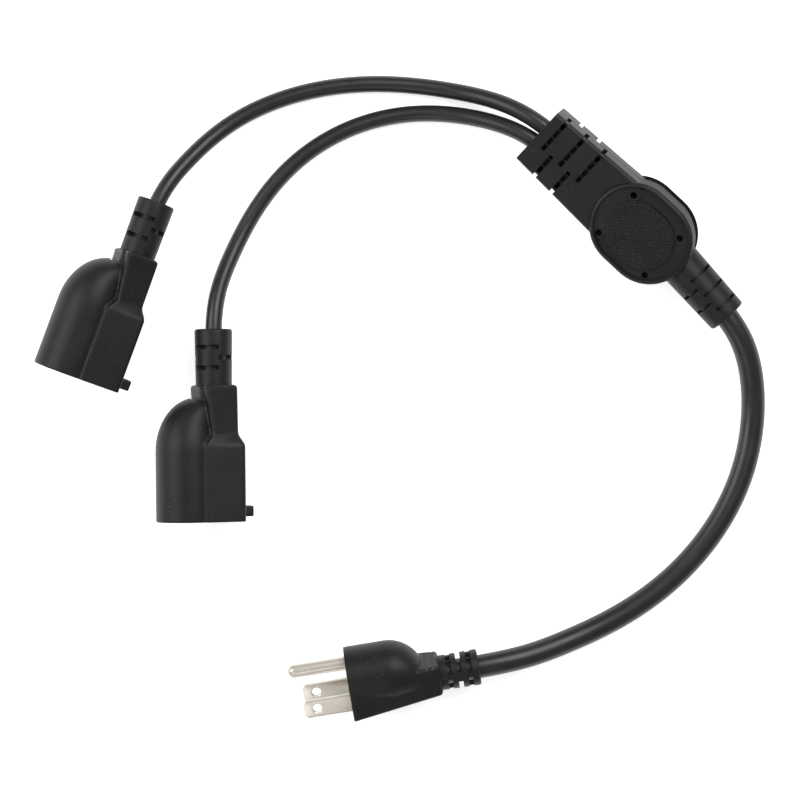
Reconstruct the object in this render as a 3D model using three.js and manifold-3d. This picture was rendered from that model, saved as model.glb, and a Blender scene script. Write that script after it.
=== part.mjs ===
// Y power cord: a grounded plug, a moulded junction and two grounded cord connectors, laid on a table.
// Millimetres, +Z up. The origin is on the table under the middle of the junction.
import * as THREE from 'three';
import { mergeVertices } from 'three/addons/utils/BufferGeometryUtils.js';
import Module from 'manifold-3d';

// Pins and contacts
const bladeSpacing = 12.7;
const bladeWidth = 6.35;
const bladeThickness = 1.52;
const bladeReach = 16.3;
const bladeHole = 3.2;
const bladeHoleFromTip = 4.6;
const bladeTipChamfer = 1.3;
const groundOffset = 11.89;
const groundDiameter = 4.75;
const groundReach = 20;
const pinRoot = 9;
const contactWall = 0.5;
const contactLength = 15;
const slotClearance = 0.4;

// Plug body
const plugLength = 31.5;
const plugHalfThickness = 10.7;
const plugRearHalfThickness = 7;
const plugFoot = 6;
const plugRearFoot = 3.2;
const plugSlabTop = 8;
const plugLedge = 8;
const plugThumb = 6;
const plugDomeRadius = 10.6;
const plugDomeCentre = 6.3;
const plugDomeStraight = 14;
const plugDomeEnd = 26.8;
const plugNoseSink = 5;
const plugCordAxis = 2.4;
const plugWall = 2.2;
const plugReliefLength = 14.3;
const plugReliefRadius = 6;

// Connector body
const connectorLength = 46.7;
const connectorHalfThickness = 11.2;
const connectorRearHalfThickness = 10.4;
const connectorFoot = 9.4;
const connectorRearFoot = 7.6;
const connectorSlabTop = 5.2;
const connectorLedge = 5.3;
const connectorThumb = 6;
const connectorShoulder = 25.5;
const connectorNeck = 30.5;
const connectorDomeRadius = 10.9;
const connectorDomeCentre = 8.2;
const connectorDomeStraight = 24;
const connectorDomeEnd = 42.4;
const connectorNoseSink = 0.6;
const connectorCordAxis = -1.4;
const connectorWall = 2;
const connectorReliefLength = 19.5;
const connectorReliefRadius = 6.45;
const lugSetback = 1.4;
const lugLength = 3.7;
const lugWidth = 5;
const lugHeight = 5.2;

// Junction body
const neckLength = 40;
const neckHalfWidth = 10.6;
const neckFlare = 1.6;
const neckHalfThickness = 8;
const padSetback = 8.6;
const padRadius = 15.1;
const padStraight = 7.4;
const padHalfThickness = 9;
const edgeBevel = 1.4;
const seamWidth = 0.5;
const seamDepth = 0.5;
const panelRadius = 10;
const panelStraight = 4;
const panelDepth = 0.7;
const coreHole = 2.3;
const coreHoleDepth = 4;
const coreHoleAlong = 10.7;
const coreHoleAcross = 8.8;
const junctionReliefLength = 24.5;
const junctionReliefRadius = 7.2;
const junctionReliefLean = 5;
const junctionReliefSink = 2;
const seamFront = 16;
const roomLead = 10;
const roomTail = 6;
const roomHalfWidth = 9.2;
const bridgeHalfWidth = 8.8;
const bridgeHalfLength = 3;
const bridgeSetback = 4;

// Strain relief slots
const neckSlot = 1.45;
const neckSlotPitch = 8;
const neckSlotFirst = 4.6;
const reliefSlot = 1.5;
const reliefWall = 1;
const reliefWeb = 1.2;

// Walls, gaps and moulded edges
const junctionWall = 3.4;
const gap = 0.35;
const bridgeDepth = 7;
const insertDepth = 24;
const cornerRadius = 1.2;
const edgeRound = 1.2;
const cornerSteps = 2;
const arcSteps = 10;
const domeSides = 24;
const noseSteps = 6;
const noseRadius = 1.5;
const reliefSides = 20;
const boreSides = 14;

// Cords
const inputCordDiameter = 8.1;
const outputCordDiameter = 5.7;
const outputCordSpacing = 5.9;
const cordSeat = 6;
const cordInset = 1;
const rootRoom = 2.6;
const leadDiameter = 1.6;
const junctionLeadDiameter = 1.4;
const coreSpread = 1.8;
const inputCoreSpread = 2.4;
const coreLift = 1.1;
const leadStraight = 1.5;
const ferruleRadius = 2.2;
const ferruleLength = 9;
const ferruleSpacing = 5.4;

// Where each moulding lies on the table: place, direction its face or its single cord points, roll
const plugPlace = { x: -95.3, y: -163.2, yaw: 189.3, roll: 160 };
const lowerPlace = { x: -143, y: -103.9, yaw: -89.4, roll: 160 };
const upperPlace = { x: -185.8, y: -55.8, yaw: -110.3, roll: 160 };
const junctionPlace = { yaw: -43, roll: 18 };

// Cord routes over the table, hand set along each cord's middle line
const inputRoute = [
  [13, -10.7, 13], [23.4, -22, 12.6], [33.9, -33.6, 12.1], [38.6, -40, 11], [41.7, -48, 8.8],
  [43.3, -56, 6.4], [43.9, -64, 4.9], [43.2, -74, 4.2], [41.1, -84.5, 4.1], [37.2, -95.2, 4.1],
  [33.1, -103, 4.1], [28.3, -110.3, 4.1], [22.8, -117, 4.1], [16.7, -123.3, 4.1], [10, -128.9, 4.1],
  [2.8, -134, 4.1], [-4.7, -138.4, 4.3], [-12.6, -142.3, 4.8], [-20.7, -145.6, 6], [-30, -149.2, 8.6],
  [-40.4, -151.8, 11.6], [-50.5, -153.6, 12.4], [-60.1, -155.2, 12.5], [-69.9, -156.8, 12.5],
];
const outerRoute = [
  [-6.2, 10.4, 13.7], [-17.3, 20.7, 13.7], [-28.7, 31.2, 13.6], [-37, 36.9, 11.9], [-45.5, 40.8, 8.4],
  [-54, 43.2, 5.2], [-61.5, 44.8, 3.6], [-69, 46, 3], [-77, 46.8, 2.9], [-85.6, 47.2, 2.9],
  [-94.3, 46.9, 2.9], [-102.9, 46, 2.9], [-111.5, 44.3, 2.9], [-119.8, 41.9, 2.9], [-127.9, 38.6, 2.9],
  [-135.6, 34.5, 3], [-142.4, 29.4, 3.9], [-148.6, 23.6, 6.2], [-154.1, 16.9, 9.4],
  [-157.8, 13, 11.6], [-161.6, 5.8, 12.8], [-165.8, -5.6, 12.9], [-170.2, -17.4, 12.9],
];
const innerRoute = [
  [-10.1, 6.3, 11.9], [-21.1, 16.6, 11.9], [-32.5, 27.1, 11.8], [-41, 31.6, 10], [-50, 34.4, 7],
  [-58.6, 36.2, 4.8], [-67.3, 37, 3.4], [-76, 36.8, 2.9], [-84.6, 35.4, 2.9], [-92.9, 33, 2.9],
  [-100.9, 29.5, 2.9], [-108.4, 25, 2.9], [-115.2, 19.7, 2.9], [-121.3, 13.4, 2.9], [-126.6, 6.5, 2.9],
  [-131.2, -0.9, 3], [-135, -8.7, 3.8], [-138.2, -16, 6.2], [-140.8, -23.5, 9.6], [-142.1, -30, 12],
  [-142.4, -37.7, 12.8], [-142.2, -49.9, 12.9], [-142.1, -62.5, 12.9],
];

const wasm = await Module();
wasm.setup();

const rubber = { color: 0x2a2a29, roughness: 0.6, metalness: 0 };
const innerPlastic = { color: 0x1d1d1d, roughness: 0.5, metalness: 0 };
const nickel = { color: 0xbdb4a4, roughness: 0.3, metalness: 1 };
const brass = { color: 0xb9a06a, roughness: 0.35, metalness: 1 };
const hotLead = { color: 0x161616, roughness: 0.5, metalness: 0 };
const neutralLead = { color: 0xe4e2dc, roughness: 0.5, metalness: 0 };
const groundLead = { color: 0x2f7d46, roughness: 0.5, metalness: 0 };

// Solids

function toManifold(geometry) {
  const bare = geometry.clone();
  bare.deleteAttribute('normal');
  bare.deleteAttribute('uv');
  const merged = mergeVertices(bare, 1e-5);
  return new wasm.Manifold(new wasm.Mesh({
    numProp: 3,
    vertProperties: new Float32Array(merged.attributes.position.array),
    triVerts: new Uint32Array(merged.index.array),
  }));
}

function toGeometry(solid) {
  const mesh = solid.getMesh();
  const geometry = new THREE.BufferGeometry();
  geometry.setAttribute('position', new THREE.BufferAttribute(new Float32Array(mesh.vertProperties), 3));
  geometry.setIndex(new THREE.BufferAttribute(new Uint32Array(mesh.triVerts), 1));
  geometry.computeVertexNormals();
  return geometry;
}

// Joins rings of equal point count into a closed solid; each end is closed round its middle.
function loft(rings) {
  const count = rings[0].length;
  const points = rings.flat();
  const index = [];
  for (let r = 0; r + 1 < rings.length; r++) {
    for (let i = 0; i < count; i++) {
      const a = r * count + i;
      const b = r * count + (i + 1) % count;
      index.push(a, a + count, b, b, a + count, b + count);
    }
  }
  for (const [r, flip] of [[0, true], [rings.length - 1, false]]) {
    const middle = points.length;
    const ring = rings[r];
    points.push([0, 1, 2].map((k) => ring.reduce((sum, p) => sum + p[k], 0) / count));
    for (let i = 0; i < count; i++) {
      const a = r * count + i;
      const b = r * count + (i + 1) % count;
      index.push(...(flip ? [middle, a, b] : [middle, b, a]));
    }
  }
  const geometry = new THREE.BufferGeometry();
  geometry.setAttribute('position', new THREE.BufferAttribute(new Float32Array(points.flat()), 3));
  geometry.setIndex(index);
  return toManifold(geometry);
}

// Section of a moulded slab at x: a trapezoid in Y and Z with rounded corners.
function slabRing(x, foot, top, footHalf, topHalf, radius) {
  const ring = [];
  const corners = [[top, topHalf, 0], [top, -topHalf, 3], [foot, -footHalf, 2], [foot, footHalf, 1]];
  for (const [y, z, quarter] of corners) {
    const cy = y - Math.sign(y - foot - 1e-6) * radius;
    const cz = z - Math.sign(z) * radius;
    for (let k = 0; k <= cornerSteps; k++) {
      const angle = (quarter + 1 - k / cornerSteps) * Math.PI / 2;
      ring.push([x, cy + radius * Math.cos(angle), cz + radius * Math.sin(angle)]);
    }
  }
  return ring;
}

// Section with a half-round top over a flat-sided foot.
function domedRing(x, foot, half, centre, radius, corner) {
  const spread = Math.asin(Math.min(1, half / radius));
  const ring = [];
  for (let k = 0; k <= arcSteps; k++) {
    const angle = spread * (1 - 2 * k / arcSteps);
    ring.push([x, centre + radius * Math.cos(angle), radius * Math.sin(angle)]);
  }
  ring.push([x, foot + corner, -half], [x, foot, corner - half]);
  ring.push([x, foot, half - corner], [x, foot + corner, half]);
  return ring;
}

function circleRing(x, centre, radius, sides) {
  return Array.from({ length: sides }, (_, i) => {
    const angle = -i / sides * 2 * Math.PI;
    return [x, centre + radius * Math.cos(angle), radius * Math.sin(angle)];
  });
}

function block(x0, x1, y0, y1, z0, z1) {
  const geometry = new THREE.BoxGeometry(x1 - x0, y1 - y0, z1 - z0);
  geometry.translate((x0 + x1) / 2, (y0 + y1) / 2, (z0 + z1) / 2);
  return toManifold(geometry);
}

// Round bar along X.
function bar(x0, x1, y, z, radius, sides) {
  const geometry = new THREE.CylinderGeometry(radius, radius, x1 - x0, sides);
  geometry.rotateZ(-Math.PI / 2);
  geometry.translate((x0 + x1) / 2, y, z);
  return toManifold(geometry);
}

// Solid of revolution round X from [x, radius] pairs that start and end on the axis.
function turned(profile, y, z, sides) {
  const points = profile.map(([x, radius]) => new THREE.Vector2(radius, x));
  const geometry = new THREE.LatheGeometry(points, sides);
  geometry.rotateZ(-Math.PI / 2);
  geometry.translate(0, y, z);
  return toManifold(geometry);
}

// Outline in X and Y, extruded between two heights with a bevel on both faces.
function plate(shape, z0, z1, bevel, segments) {
  const geometry = new THREE.ExtrudeGeometry(shape, {
    depth: z1 - z0 - 2 * bevel,
    bevelEnabled: bevel > 0,
    bevelThickness: bevel,
    bevelSize: bevel,
    bevelOffset: -bevel,
    bevelSegments: 2,
    curveSegments: segments,
  });
  geometry.translate(0, 0, z0 + bevel);
  return toManifold(geometry);
}

function stadium(centre, straight, radius) {
  const shape = new THREE.Shape();
  shape.absarc(centre + straight / 2, 0, radius, -Math.PI / 2, Math.PI / 2, false);
  shape.absarc(centre - straight / 2, 0, radius, Math.PI / 2, 1.5 * Math.PI, false);
  return shape;
}

function union(...solids) {
  return solids.reduce((sum, solid) => sum.add(solid));
}

function named(name, solid, finish) {
  const geometry = solid.isBufferGeometry ? solid : toGeometry(solid);
  const mesh = new THREE.Mesh(geometry, new THREE.MeshStandardMaterial(finish));
  mesh.name = name;
  return mesh;
}

// Tube along hand-set points.
function tube(points, diameter, sides, steps) {
  const curve = new THREE.CatmullRomCurve3(points.map((p) => new THREE.Vector3(...p)));
  const section = new THREE.Shape();
  for (let i = 0; i < sides; i++) {
    const angle = (i + 0.5) / sides * 2 * Math.PI;
    const x = diameter / 2 * Math.cos(angle);
    const y = diameter / 2 * Math.sin(angle);
    if (i === 0) section.moveTo(x, y);
    else section.lineTo(x, y);
  }
  return new THREE.ExtrudeGeometry(section, { steps, bevelEnabled: false, extrudePath: curve });
}

// Round slotted strain relief behind x = 0, running to -length; the slots are left out of the core.
function relief(length, radius, baseRadius, cordRadius, slots, slotWidth) {
  const body = turned([
    [-length, 0], [-length, radius - 0.8], [-length + 0.8, radius], [-1.2, baseRadius],
    [1, baseRadius], [1, 0],
  ], 0, 0, reliefSides);
  const core = bar(-length, 1, 0, 0, cordRadius + gap + reliefWall, boreSides);
  const web = block(-length, 1, -radius - 1, radius + 1, -reliefWeb / 2, reliefWeb / 2);
  const keep = union(core, web);
  return slots.reduce((solid, { x, side, up }) => {
    const y0 = side > 0 ? 0 : -radius - 1;
    const z0 = up > 0 ? 0 : -radius - 1;
    const cut = block(x - slotWidth / 2, x + slotWidth / 2, y0, y0 + radius + 1, z0, z0 + radius + 1);
    return solid.subtract(cut.subtract(keep));
  }, body);
}

// Staggered slots: on top they come from one side, halfway on from the other; underneath they swap.
function staggered(first, pitch, count) {
  const slots = [];
  for (let i = 0; i < count; i++) {
    for (const up of [1, -1]) {
      slots.push({ x: -first - i * pitch, side: (i % 2 ? -1 : 1) * up, up });
    }
  }
  return slots;
}

// Moulded body shared by the plug and the connectors: a flat-sided slab under a half-round dome whose
// nose runs down to a thumb ledge. The face is at x = 0 and the cord leaves at -X; +Y is the ground side.
function mouldedBody(size) {
  const { ledge, domeRadius, domeCentre, domeStraight, domeEnd } = size;
  const slab = loft(size.stations.map(([back, foot, top, footHalf, topHalf]) =>
    slabRing(-back, foot, top, footHalf, topHalf, cornerRadius)).reverse());
  const tip = ledge - size.noseSink;
  const nose = [];
  for (let k = 0; k < noseSteps; k++) {
    const t = Math.sin(k / noseSteps * Math.PI / 2);
    const fall = Math.sqrt(1 - t * t);
    const top = tip + (domeCentre + domeRadius - tip) * fall;
    const centre = Math.min(domeCentre - (domeCentre - tip + 2) * t ** 3, top - noseRadius);
    const back = domeStraight + (domeEnd - domeStraight) * t;
    nose.unshift(circleRing(-back, centre, Math.min(top - centre, domeRadius), domeSides));
  }
  const dome = loft([...nose, circleRing(0, domeCentre, domeRadius, domeSides)]);
  const thumb = block(-size.length + 0.6, -domeStraight, 0, ledge, -size.thumb, size.thumb);
  return union(slab, dome, thumb);
}

function thumbGrooves(size, pitch, width, count) {
  return Array.from({ length: count }, (_, i) => {
    const x = -size.length + 1.8 + i * pitch;
    return block(x, x + width, size.ledge - 0.5, size.ledge + 2, -size.thumb - 1, size.thumb + 1);
  });
}

// Section of the room inside a moulded body, a wall in from its outside.
function innerRing(x, size, inset) {
  return domedRing(x, -size.foot + inset, size.half - inset, size.domeCentre, size.domeRadius - inset,
    cornerRadius);
}

// Space inside a shell: the insert's pocket at the face, then a chamber that narrows to the cord.
function hollow(size, pocketDepth, cordRadius, reliefLength) {
  const pocketEnd = pocketDepth + rootRoom;
  const chamberEnd = size.length - cordSeat;
  const pocket = loft([innerRing(-pocketEnd, size, size.wall), innerRing(1, size, size.wall)]);
  const room = cordRadius - 0.2;
  const chamber = loft([
    domedRing(-chamberEnd, size.axis - room, room, size.axis, room, 0.8),
    innerRing(-pocketEnd + 0.5, size, size.wall + 0.6),
  ]);
  const bore = bar(-size.length - reliefLength - 1, -chamberEnd + 0.5, size.axis, 0, cordRadius + gap,
    boreSides);
  return union(pocket, chamber, bore);
}

const plugSize = {
  length: plugLength, half: plugHalfThickness, foot: plugFoot, ledge: plugLedge, thumb: plugThumb,
  domeRadius: plugDomeRadius, domeCentre: plugDomeCentre, domeStraight: plugDomeStraight,
  domeEnd: plugDomeEnd, noseSink: plugNoseSink, axis: plugCordAxis, wall: plugWall,
  stations: [
    [0, -plugFoot, plugSlabTop, plugHalfThickness, plugHalfThickness],
    [plugLength - edgeRound, -plugRearFoot, plugSlabTop, plugRearHalfThickness, plugRearHalfThickness],
    [plugLength, edgeRound - plugRearFoot, plugSlabTop - edgeRound, plugRearHalfThickness - edgeRound,
      plugRearHalfThickness - edgeRound],
  ],
};
const connectorSize = {
  length: connectorLength, half: connectorHalfThickness, foot: connectorFoot, ledge: connectorLedge,
  thumb: connectorThumb, domeRadius: connectorDomeRadius, domeCentre: connectorDomeCentre,
  domeStraight: connectorDomeStraight, domeEnd: connectorDomeEnd, noseSink: connectorNoseSink,
  axis: connectorCordAxis, wall: connectorWall,
  stations: [
    [0, -connectorFoot, connectorSlabTop, connectorHalfThickness, connectorHalfThickness],
    [connectorShoulder, -connectorFoot, connectorSlabTop, connectorHalfThickness, connectorHalfThickness],
    [connectorNeck, -connectorRearFoot, connectorLedge - 3, connectorRearHalfThickness - 1.4,
      connectorRearHalfThickness],
    [connectorLength - edgeRound, -connectorRearFoot, connectorLedge - 1, connectorRearHalfThickness - 2,
      connectorRearHalfThickness],
    [connectorLength, edgeRound - connectorRearFoot, connectorLedge - 1 - edgeRound,
      connectorRearHalfThickness - 2 - edgeRound, connectorRearHalfThickness - edgeRound],
  ],
};

// Plug

function plugPins(prefix) {
  const tip = bladeReach;
  const outline = new THREE.Shape();
  const w = bladeWidth / 2;
  outline.moveTo(-pinRoot, -w);
  outline.lineTo(tip - bladeTipChamfer, -w);
  outline.lineTo(tip, -w + bladeTipChamfer);
  outline.lineTo(tip, w - bladeTipChamfer);
  outline.lineTo(tip - bladeTipChamfer, w);
  outline.lineTo(-pinRoot, w);
  outline.closePath();
  const hole = new THREE.Path();
  hole.absarc(tip - bladeHoleFromTip, 0, bladeHole / 2, 0, 2 * Math.PI, true);
  outline.holes.push(hole);
  const nodes = [];
  for (const [pin, side] of [['neutral', 1], ['hot', -1]]) {
    const z = side * bladeSpacing / 2;
    nodes.push(named(`${prefix}${pin}_blade`,
      plate(outline, z - bladeThickness / 2, z + bladeThickness / 2, 0.25, 8), nickel));
  }
  const r = groundDiameter / 2;
  nodes.push(named(`${prefix}ground_pin`, turned([
    [-pinRoot, 0], [-pinRoot, r], [groundReach - r, r], [groundReach - 0.6 * r, r * 0.92],
    [groundReach - 0.2 * r, r * 0.6], [groundReach, 0],
  ], groundOffset, 0, 20), nickel));
  return nodes;
}

function pinPassages(depth, extra) {
  const t = bladeThickness / 2 + extra;
  const w = bladeWidth / 2 + extra;
  const z = bladeSpacing / 2;
  return [
    block(-depth - 1, 1, -w, w, z - t, z + t),
    block(-depth - 1, 1, -w, w, -z - t, -z + t),
    bar(-depth - 1, 1, groundOffset, 0, groundDiameter / 2 + extra, 20),
  ];
}

function leads(prefix, size, ends, cordRadius) {
  const start = -size.length + cordSeat + cordInset;
  return ends.map(({ wire, y, z, x, finish }, i) => {
    const angle = Math.PI / 2 + (i - 1) * 2 * Math.PI / 3;
    const y0 = size.axis + Math.sin(angle) * cordRadius * 0.5;
    const side = z === 0 ? 1 : Math.sign(z) * Math.sign(Math.cos(angle) || 1);
    const z0 = Math.cos(angle) * cordRadius * 0.5 * side;
    const points = [[start, y0, z0], [start + leadStraight, y0, z0], [x - leadStraight, y, z], [x, y, z]];
    return named(`${prefix}${wire}_lead`, tube(points, leadDiameter, 6, 4), finish);
  });
}

function makePlug() {
  const size = plugSize;
  const cordRadius = inputCordDiameter / 2;
  const reliefPart = relief(plugReliefLength, plugReliefRadius, plugReliefRadius + 0.3, cordRadius,
    staggered(2.8, 3.6, 3), reliefSlot).translate([-size.length, size.axis, 0]);
  const shell = union(mouldedBody(size), reliefPart)
    .subtract(hollow(size, bridgeDepth, cordRadius, plugReliefLength));
  const grooved = thumbGrooves(size, 2.3, 0.9, 2).reduce((solid, groove) => solid.subtract(groove), shell);
  const bridge = pinPassages(bridgeDepth, gap).reduce((solid, hole) => solid.subtract(hole), loft([
    innerRing(-bridgeDepth, size, size.wall + gap), innerRing(0, size, size.wall + gap),
  ]));
  const x = -pinRoot - gap;
  return [
    named('plug_shell', grooved, rubber),
    named('plug_bridge', bridge, innerPlastic),
    ...plugPins('plug_'),
    ...leads('plug_', size, [
      { wire: 'neutral', x, y: 0, z: bladeSpacing / 2, finish: neutralLead },
      { wire: 'ground', x, y: groundOffset, z: 0, finish: groundLead },
      { wire: 'hot', x, y: 0, z: -bladeSpacing / 2, finish: hotLead },
    ], cordRadius),
  ];
}

// Connector

function slottedInsert(size) {
  const w = bladeWidth / 2 + slotClearance;
  const t = bladeThickness / 2 + slotClearance;
  const pocketWide = w + contactWall + gap;
  const pocketThick = t + contactWall + gap;
  const groundOpen = groundDiameter / 2 + slotClearance;
  const lip = 1.6;
  const cuts = [];
  for (const side of [-1, 1]) {
    const z = side * bladeSpacing / 2;
    cuts.push(block(-lip - 1, 1, -w, w, z - t, z + t));
    cuts.push(block(-insertDepth - 1, -lip, -pocketWide, pocketWide, z - pocketThick, z + pocketThick));
  }
  cuts.push(bar(-lip - 1, 1, groundOffset, 0, groundOpen, 20));
  cuts.push(bar(-insertDepth - 1, -lip, groundOffset, 0, groundOpen + contactWall + gap, 20));
  return cuts.reduce((solid, cut) => solid.subtract(cut), loft([
    innerRing(-insertDepth, size, size.wall + gap), innerRing(0, size, size.wall + gap),
  ]));
}

// A contact is a formed sleeve, open towards the face, with a crimp barrel behind it.
function bladeContact(z) {
  const w = bladeWidth / 2 + slotClearance + contactWall;
  const t = bladeThickness / 2 + slotClearance + contactWall;
  const front = -1.6 - gap;
  const sleeve = block(front - contactLength, front, -w, w, z - t, z + t);
  const inside = block(front - contactLength + 1, front + 1, -w + contactWall, w - contactWall,
    z - t + contactWall, z + t - contactWall);
  const barrel = bar(-insertDepth - gap, front - contactLength + 0.5, 0, z, 1.2, 12);
  return union(sleeve.subtract(inside), barrel);
}

function groundContact() {
  const inner = groundDiameter / 2 + slotClearance;
  const front = -1.6 - gap;
  const sleeve = bar(front - contactLength, front, groundOffset, 0, inner + contactWall, 20);
  const inside = bar(front - contactLength + 1, front + 1, groundOffset, 0, inner, 20);
  const barrel = bar(-insertDepth - gap, front - contactLength + 0.5, groundOffset, 0, 1.2, 12);
  return union(sleeve.subtract(inside), barrel);
}

function lugOutline(foot) {
  const back = -lugSetback - lugLength;
  const end = foot - lugHeight;
  const round = 1.1;
  const shape = new THREE.Shape();
  shape.moveTo(back, foot + 1);
  shape.lineTo(back + 0.4, end + round);
  shape.quadraticCurveTo(back + 0.5, end, back + 0.4 + round, end);
  shape.lineTo(-lugSetback - round, end);
  shape.quadraticCurveTo(-lugSetback, end, -lugSetback, end + round);
  shape.lineTo(-lugSetback, foot + 1);
  shape.closePath();
  return shape;
}

function makeConnector(prefix) {
  const size = connectorSize;
  const cordRadius = outputCordDiameter / 2;
  const slots = staggered(5.6, 3.9, 3);
  const reliefPart = relief(connectorReliefLength, connectorReliefRadius, connectorReliefRadius - 0.3,
    cordRadius, slots, reliefSlot).translate([-size.length, size.axis, 0]);
  const lug = plate(lugOutline(-size.foot), -lugWidth / 2, lugWidth / 2, 0.6, 3);
  const shell = union(mouldedBody(size), reliefPart, lug)
    .subtract(hollow(size, insertDepth, cordRadius, connectorReliefLength));
  const grooved = thumbGrooves(size, 0.9, 0.45, 5).reduce((solid, groove) => solid.subtract(groove), shell);
  const x = -insertDepth - 2 * gap;
  return [
    named(`${prefix}shell`, grooved, rubber),
    named(`${prefix}insert`, slottedInsert(size), innerPlastic),
    named(`${prefix}neutral_contact`, bladeContact(-bladeSpacing / 2), brass),
    named(`${prefix}hot_contact`, bladeContact(bladeSpacing / 2), brass),
    named(`${prefix}ground_contact`, groundContact(), brass),
    ...leads(prefix, size, [
      { wire: 'hot', x, y: 0, z: bladeSpacing / 2, finish: hotLead },
      { wire: 'ground', x, y: groundOffset, z: 0, finish: groundLead },
      { wire: 'neutral', x, y: 0, z: -bladeSpacing / 2, finish: neutralLead },
    ], cordRadius),
  ];
}

// Junction: two cords enter at x = 0, one cord leaves through the round strain relief.

const padCentre = neckLength + padSetback;
const padEnd = padCentre + padStraight / 2 + padRadius;

function neckOutline() {
  const shape = new THREE.Shape();
  const wide = neckHalfWidth + neckFlare;
  shape.moveTo(0, -neckHalfWidth);
  shape.lineTo(neckLength, -wide);
  shape.lineTo(neckLength, wide);
  shape.lineTo(0, neckHalfWidth);
  shape.closePath();
  return shape;
}

function junctionOuter() {
  const neck = plate(neckOutline(), -neckHalfThickness, neckHalfThickness, edgeBevel, 4);
  const pad = plate(stadium(padCentre, padStraight, padRadius), -padHalfThickness, padHalfThickness,
    edgeBevel, 14);
  const seam = plate(stadium(padCentre, padStraight, padRadius + 1), -seamWidth / 2, seamWidth / 2, 0, 14)
    .add(block(seamFront, padCentre, -padRadius, padRadius, -seamWidth / 2, seamWidth / 2));
  const inside = plate(stadium(padCentre, padStraight, padRadius - seamDepth), -1, 1, 0, 14)
    .add(plate(neckOutline(), -1, 1, 0, 4).scale([1, 1 - seamDepth / neckHalfWidth, 1]));
  return union(neck, pad).subtract(seam.subtract(inside));
}

function leaned(solid) {
  return solid.rotate([0, 0, -junctionReliefLean]).translate([padEnd - junctionReliefSink, 0, 0]);
}

function makeJunction() {
  const outputRadius = outputCordDiameter / 2;
  const inputRadius = inputCordDiameter / 2;
  const slots = [];
  for (let i = 0; i < 6; i++) {
    for (const up of [1, -1]) slots.push({ x: -7 - i * 3.25 + 0.2, side: (i % 2 ? 1 : -1) * up, up });
  }
  const reliefPart = leaned(relief(junctionReliefLength, junctionReliefRadius, junctionReliefRadius + 0.3,
    inputRadius, slots.slice(0, 10), 1).rotate([0, 180, 0]));
  let shell = union(junctionOuter(), reliefPart);
  for (const face of [1, -1]) {
    const z0 = face > 0 ? padHalfThickness - panelDepth : -padHalfThickness - 1;
    const panel = stadium(padCentre, panelStraight, panelRadius);
    shell = shell.subtract(plate(panel, z0, z0 + panelDepth + 1, 0, 14));
    for (const sx of [-1, 1]) {
      for (const sy of [-1, 1]) {
        const hole = new THREE.Shape();
        hole.absarc(padCentre + sx * coreHoleAlong, sy * coreHoleAcross, coreHole / 2, 0, 2 * Math.PI, false);
        const h0 = face > 0 ? padHalfThickness - coreHoleDepth : -padHalfThickness - 1;
        shell = shell.subtract(plate(hole, h0, h0 + coreHoleDepth + 1, 0, 6));
      }
    }
  }
  const cordKeep = block(-1, neckLength, -outputCordSpacing / 2 - outputRadius - 1.2,
    outputCordSpacing / 2 + outputRadius + 1.2, -outputRadius - 1.2, outputRadius + 1.2);
  const webKeep = block(-1, neckLength, -neckHalfWidth * 2, neckHalfWidth * 2, -reliefWeb / 2, reliefWeb / 2);
  const keep = union(cordKeep, webKeep);
  for (let i = 0; i < 5; i++) {
    const x = neckSlotFirst + i * neckSlotPitch / 2;
    for (const up of [1, -1]) {
      const side = (i % 2 ? -1 : 1) * up;
      const y0 = side > 0 ? -0.4 : -2 * neckHalfWidth;
      const z0 = up > 0 ? 0 : -2 * neckHalfThickness;
      const cut = block(x - neckSlot / 2, x + neckSlot / 2, y0, y0 + 2 * neckHalfWidth + 0.4,
        z0, z0 + 2 * neckHalfThickness);
      shell = shell.subtract(cut.subtract(keep));
    }
  }
  const roomFront = neckLength - roomLead;
  const roomBack = padCentre + padStraight / 2 + roomTail;
  const roomHalf = padHalfThickness - junctionWall;
  const room = block(roomFront, roomBack, -roomHalfWidth, roomHalfWidth, -roomHalf, roomHalf);
  const bores = [-1, 1].map((side) =>
    bar(-1, roomFront + 1, side * outputCordSpacing / 2, 0, outputRadius + gap, boreSides));
  const exit = leaned(bar(-roomLead, junctionReliefLength + 1, 0, 0, inputRadius + gap, boreSides));
  shell = shell.subtract(union(room, ...bores, exit));
  const frameX = padCentre - bridgeSetback;
  const wires = [['hot', 1, hotLead], ['ground', 0, groundLead], ['neutral', -1, neutralLead]];
  let bridge = block(frameX - bridgeHalfLength, frameX + bridgeHalfLength, -bridgeHalfWidth, bridgeHalfWidth,
    -roomHalf + gap, roomHalf - gap);
  const nodes = [];
  for (const [wire, row, finish] of wires) {
    const y = row * ferruleSpacing;
    const seat = bar(frameX - ferruleLength, frameX + ferruleLength, y, 0, ferruleRadius + gap, 16);
    bridge = bridge.subtract(seat);
    nodes.push(named(`junction_${wire}_ferrule`,
      bar(frameX - ferruleLength / 2, frameX + ferruleLength / 2, y, 0, ferruleRadius, 14), brass));
    const front = frameX - ferruleLength / 2 - gap;
    const back = frameX + ferruleLength / 2 + gap;
    for (const [cord, side] of [['inner', -1], ['outer', 1]]) {
      const z = side * coreLift;
      const y0 = side * outputCordSpacing / 2 + row * coreSpread;
      const start = roomFront + cordInset;
      nodes.push(named(`junction_${cord}_${wire}_lead`,
        tube([[start, y0, z], [start + leadStraight, y0, z], [front - leadStraight, y, z], [front, y, z]],
          junctionLeadDiameter, 6, 4), finish));
    }
    nodes.push(named(`junction_input_${wire}_lead`,
      tube([[back, y, 0], [back + 2, y * 0.9, 0], [roomBack - 3, row * inputCoreSpread, 0],
        [roomBack - cordInset, row * inputCoreSpread, 0]],
        leadDiameter, 6, 4), finish));
  }
  return [named('junction_shell', shell, rubber), named('junction_bridge', bridge, innerPlastic), ...nodes];
}

// Placing

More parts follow.
